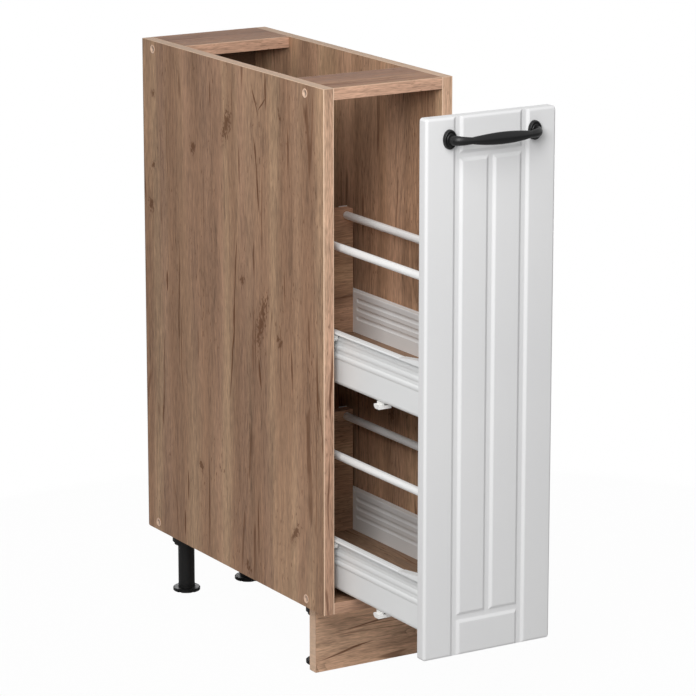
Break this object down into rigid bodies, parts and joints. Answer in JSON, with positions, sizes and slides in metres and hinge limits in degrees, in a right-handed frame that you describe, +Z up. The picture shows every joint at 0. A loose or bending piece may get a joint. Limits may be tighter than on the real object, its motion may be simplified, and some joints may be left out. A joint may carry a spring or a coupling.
{
  "type": "pull-out base cabinet",
  "caption": "Narrow kitchen base cabinet on levelling legs with a tall milled front that pulls out steel-sided roller drawers, one above the other, with gallery rails.",
  "frame": {"origin": "on the floor, below the middle of the carcass's front edge", "axes": "+X across the cabinet to its right as seen from the front's side, +Y from the front edge towards the wall, +Z up"},
  "size_m": [0.2018, 0.7805, 0.82],
  "materials": {
    "oak_board": "matt oak-grain laminate on chipboard",
    "edge_band": "matt light oak edge banding",
    "fibreboard": "matt hard fibreboard, oak print inside",
    "cap_plastic": "matt moulded plastic in light oak",
    "zinc_steel": "bright zinc plate",
    "coated_steel": "off-white powder coat",
    "white_nylon": "moulded white nylon",
    "black_plastic": "moulded black plastic with a fine texture",
    "white_front": "satin white film on milled fibreboard",
    "black_casting": "matt black coat on a zinc casting"
  },
  "bodies": {
    "cabinet": {"side_left": "oak_board", "side_right": "oak_board", "bottom_panel": "oak_board", "stretcher_front": "oak_board", "stretcher_rear": "oak_board", "back_panel": "fibreboard", "back_nails": "zinc_steel", "edge_banding": "edge_band", "confirmat_screws": "zinc_steel", "screw_caps": "cap_plastic", "runner_upper_left": "coated_steel", "runner_upper_right": "coated_steel", "runner_lower_left": "coated_steel", "runner_lower_right": "coated_steel", "runner_pins": "zinc_steel", "runner_screws": "zinc_steel", "leg_front_left": "black_plastic", "leg_front_right": "black_plastic", "leg_rear_left": "black_plastic", "leg_rear_right": "black_plastic", "leg_sockets": "black_plastic", "leg_screws": "zinc_steel", "plinth": "oak_board", "plinth_clips": "black_plastic"},
    "pull_out_unit": {"door": "white_front", "handle": "black_casting", "handle_screws": "zinc_steel", "door_bumpers": "white_nylon", "drawer_side_upper_left": "coated_steel", "drawer_side_upper_right": "coated_steel", "drawer_side_lower_left": "coated_steel", "drawer_side_lower_right": "coated_steel", "drawer_floor_upper": "oak_board", "drawer_floor_lower": "oak_board", "drawer_back_upper": "oak_board", "drawer_back_lower": "oak_board", "drawer_banding": "edge_band", "rail_upper_left": "coated_steel", "rail_upper_right": "coated_steel", "rail_lower_left": "coated_steel", "rail_lower_right": "coated_steel", "rail_sockets": "white_nylon", "rear_brackets": "coated_steel", "front_brackets": "zinc_steel", "drawer_pins": "zinc_steel", "drawer_screws": "zinc_steel", "floor_clips": "white_nylon"},
    "front_roller_upper_left": {"runner_roller_upper_left": "white_nylon"},
    "front_roller_upper_right": {"runner_roller_upper_right": "white_nylon"},
    "front_roller_lower_left": {"runner_roller_lower_left": "white_nylon"},
    "front_roller_lower_right": {"runner_roller_lower_right": "white_nylon"},
    "tail_roller_upper_left": {"drawer_roller_upper_left": "white_nylon"},
    "tail_roller_upper_right": {"drawer_roller_upper_right": "white_nylon"},
    "tail_roller_lower_left": {"drawer_roller_lower_left": "white_nylon"},
    "tail_roller_lower_right": {"drawer_roller_lower_right": "white_nylon"},
    "levelling_foot_front_left": {"foot_front_left": "black_plastic"},
    "levelling_foot_front_right": {"foot_front_right": "black_plastic"},
    "levelling_foot_rear_left": {"foot_rear_left": "black_plastic"},
    "levelling_foot_rear_right": {"foot_rear_right": "black_plastic"}
  },
  "joints": [
    {"name": "pull_out", "type": "slide", "parent": "cabinet", "child": "pull_out_unit", "axis": [0, -1, 0], "range_m": [-0.2292, 0.1]},
    {"name": "front_roller_upper_left_spin", "type": "hinge", "parent": "cabinet", "child": "front_roller_upper_left", "pos_m": [-0.0755, 0.0147, 0.4831], "axis": [1, 0, 0], "continuous": true},
    {"name": "front_roller_upper_right_spin", "type": "hinge", "parent": "cabinet", "child": "front_roller_upper_right", "pos_m": [0.0755, 0.0147, 0.4831], "axis": [1, 0, 0], "continuous": true},
    {"name": "front_roller_lower_left_spin", "type": "hinge", "parent": "cabinet", "child": "front_roller_lower_left", "pos_m": [-0.0755, 0.0147, 0.1951], "axis": [1, 0, 0], "continuous": true},
    {"name": "front_roller_lower_right_spin", "type": "hinge", "parent": "cabinet", "child": "front_roller_lower_right", "pos_m": [0.0755, 0.0147, 0.1951], "axis": [1, 0, 0], "continuous": true},
    {"name": "tail_roller_upper_left_spin", "type": "hinge", "parent": "pull_out_unit", "child": "tail_roller_upper_left", "pos_m": [-0.0743, 0.21, 0.4796], "axis": [1, 0, 0], "continuous": true},
    {"name": "tail_roller_upper_right_spin", "type": "hinge", "parent": "pull_out_unit", "child": "tail_roller_upper_right", "pos_m": [0.0743, 0.21, 0.4796], "axis": [1, 0, 0], "continuous": true},
    {"name": "tail_roller_lower_left_spin", "type": "hinge", "parent": "pull_out_unit", "child": "tail_roller_lower_left", "pos_m": [-0.0743, 0.21, 0.1916], "axis": [1, 0, 0], "continuous": true},
    {"name": "tail_roller_lower_right_spin", "type": "hinge", "parent": "pull_out_unit", "child": "tail_roller_lower_right", "pos_m": [0.0743, 0.21, 0.1916], "axis": [1, 0, 0], "continuous": true},
    {"name": "foot_front_left_height", "type": "slide", "parent": "cabinet", "child": "levelling_foot_front_left", "axis": [0, 0, -1], "range_m": [0, 0.025]},
    {"name": "foot_front_right_height", "type": "slide", "parent": "cabinet", "child": "levelling_foot_front_right", "axis": [0, 0, -1], "range_m": [0, 0.025]},
    {"name": "foot_rear_left_height", "type": "slide", "parent": "cabinet", "child": "levelling_foot_rear_left", "axis": [0, 0, -1], "range_m": [0, 0.025]},
    {"name": "foot_rear_right_height", "type": "slide", "parent": "cabinet", "child": "levelling_foot_rear_right", "axis": [0, 0, -1], "range_m": [0, 0.025]}
  ],
  "couplings": [
    {"joint": "front_roller_upper_left_spin", "follows": "pull_out", "rad_per_m": 153.85},
    {"joint": "front_roller_upper_right_spin", "follows": "pull_out", "rad_per_m": 153.85},
    {"joint": "front_roller_lower_left_spin", "follows": "pull_out", "rad_per_m": 153.85},
    {"joint": "front_roller_lower_right_spin", "follows": "pull_out", "rad_per_m": 153.85},
    {"joint": "tail_roller_upper_left_spin", "follows": "pull_out", "rad_per_m": 161.29},
    {"joint": "tail_roller_upper_right_spin", "follows": "pull_out", "rad_per_m": 161.29},
    {"joint": "tail_roller_lower_left_spin", "follows": "pull_out", "rad_per_m": 161.29},
    {"joint": "tail_roller_lower_right_spin", "follows": "pull_out", "rad_per_m": 161.29}
  ]
}
